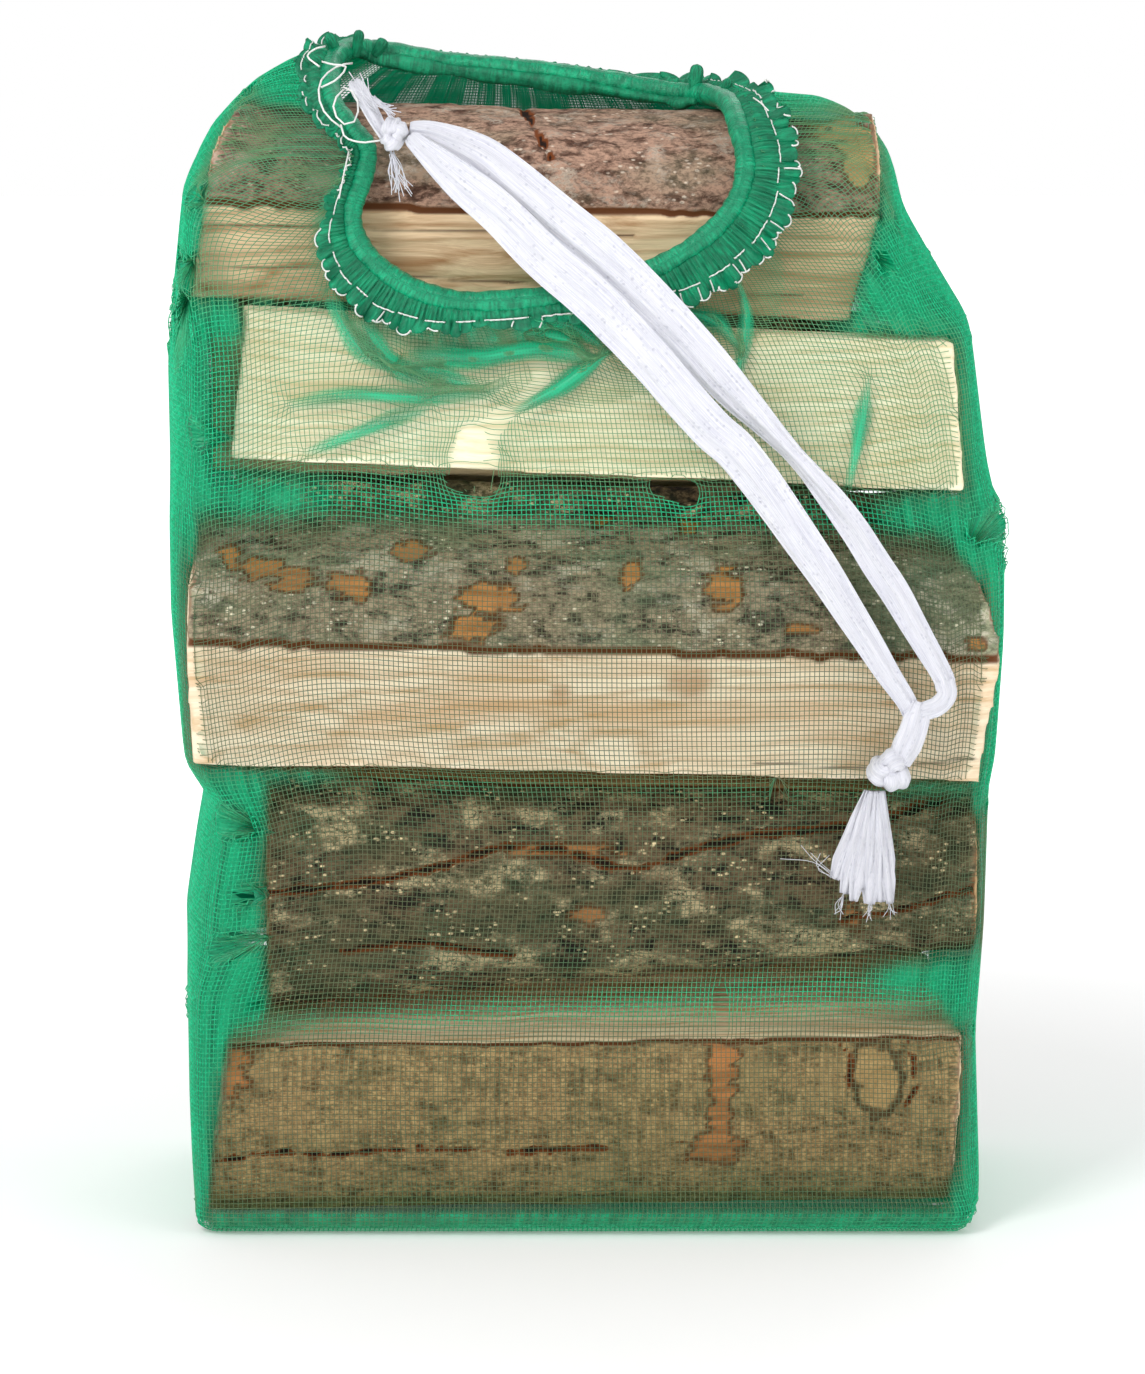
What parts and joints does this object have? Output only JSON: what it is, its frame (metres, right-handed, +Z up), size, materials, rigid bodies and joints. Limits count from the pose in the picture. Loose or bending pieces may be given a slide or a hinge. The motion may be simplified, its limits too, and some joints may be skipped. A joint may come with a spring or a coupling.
{
  "type": "netted firewood bundle",
  "caption": "Upright net bag of split logs with an elastic mouth ring, a gathered hem and a knotted white tape handle.",
  "frame": {"origin": "middle of the base of the standing bag, on the surface it stands on, measured without the tape handle", "axes": "+Z up, -Y out of the front with the mouth and the tape, +X to the right along the logs"},
  "size_m": [0.354, 0.2064, 0.5001],
  "materials": {
    "bark_log": "rough grey-green bark over pale split wood",
    "split_wood": "dry, pale, fibrous split faces",
    "green_net": "fine emerald knitted mesh with a slight sheen",
    "green_cord": "tightly wrapped, glossy elastic cord",
    "white_tape": "soft white knitted tape with a satin sheen"
  },
  "bodies": {
    "root": {"log_front_bottom": "bark_log", "log_front_dark": "bark_log", "log_front_wide": "bark_log", "log_front_board": "split_wood", "log_middle": "split_wood", "log_top": "bark_log", "log_back_bottom": "bark_log", "log_back_lower": "split_wood", "log_back_middle": "bark_log", "log_back_upper": "split_wood", "log_back_top": "bark_log", "net_bag": "green_net", "mouth_elastic": "green_cord", "mouth_hem": "green_net", "handle_knot_upper": "white_tape", "handle_strand_lower": "white_tape", "handle_strand_upper": "white_tape", "handle_neck": "white_tape", "handle_knot_lower": "white_tape", "handle_tassel": "white_tape"}
  },
  "joints": []
}
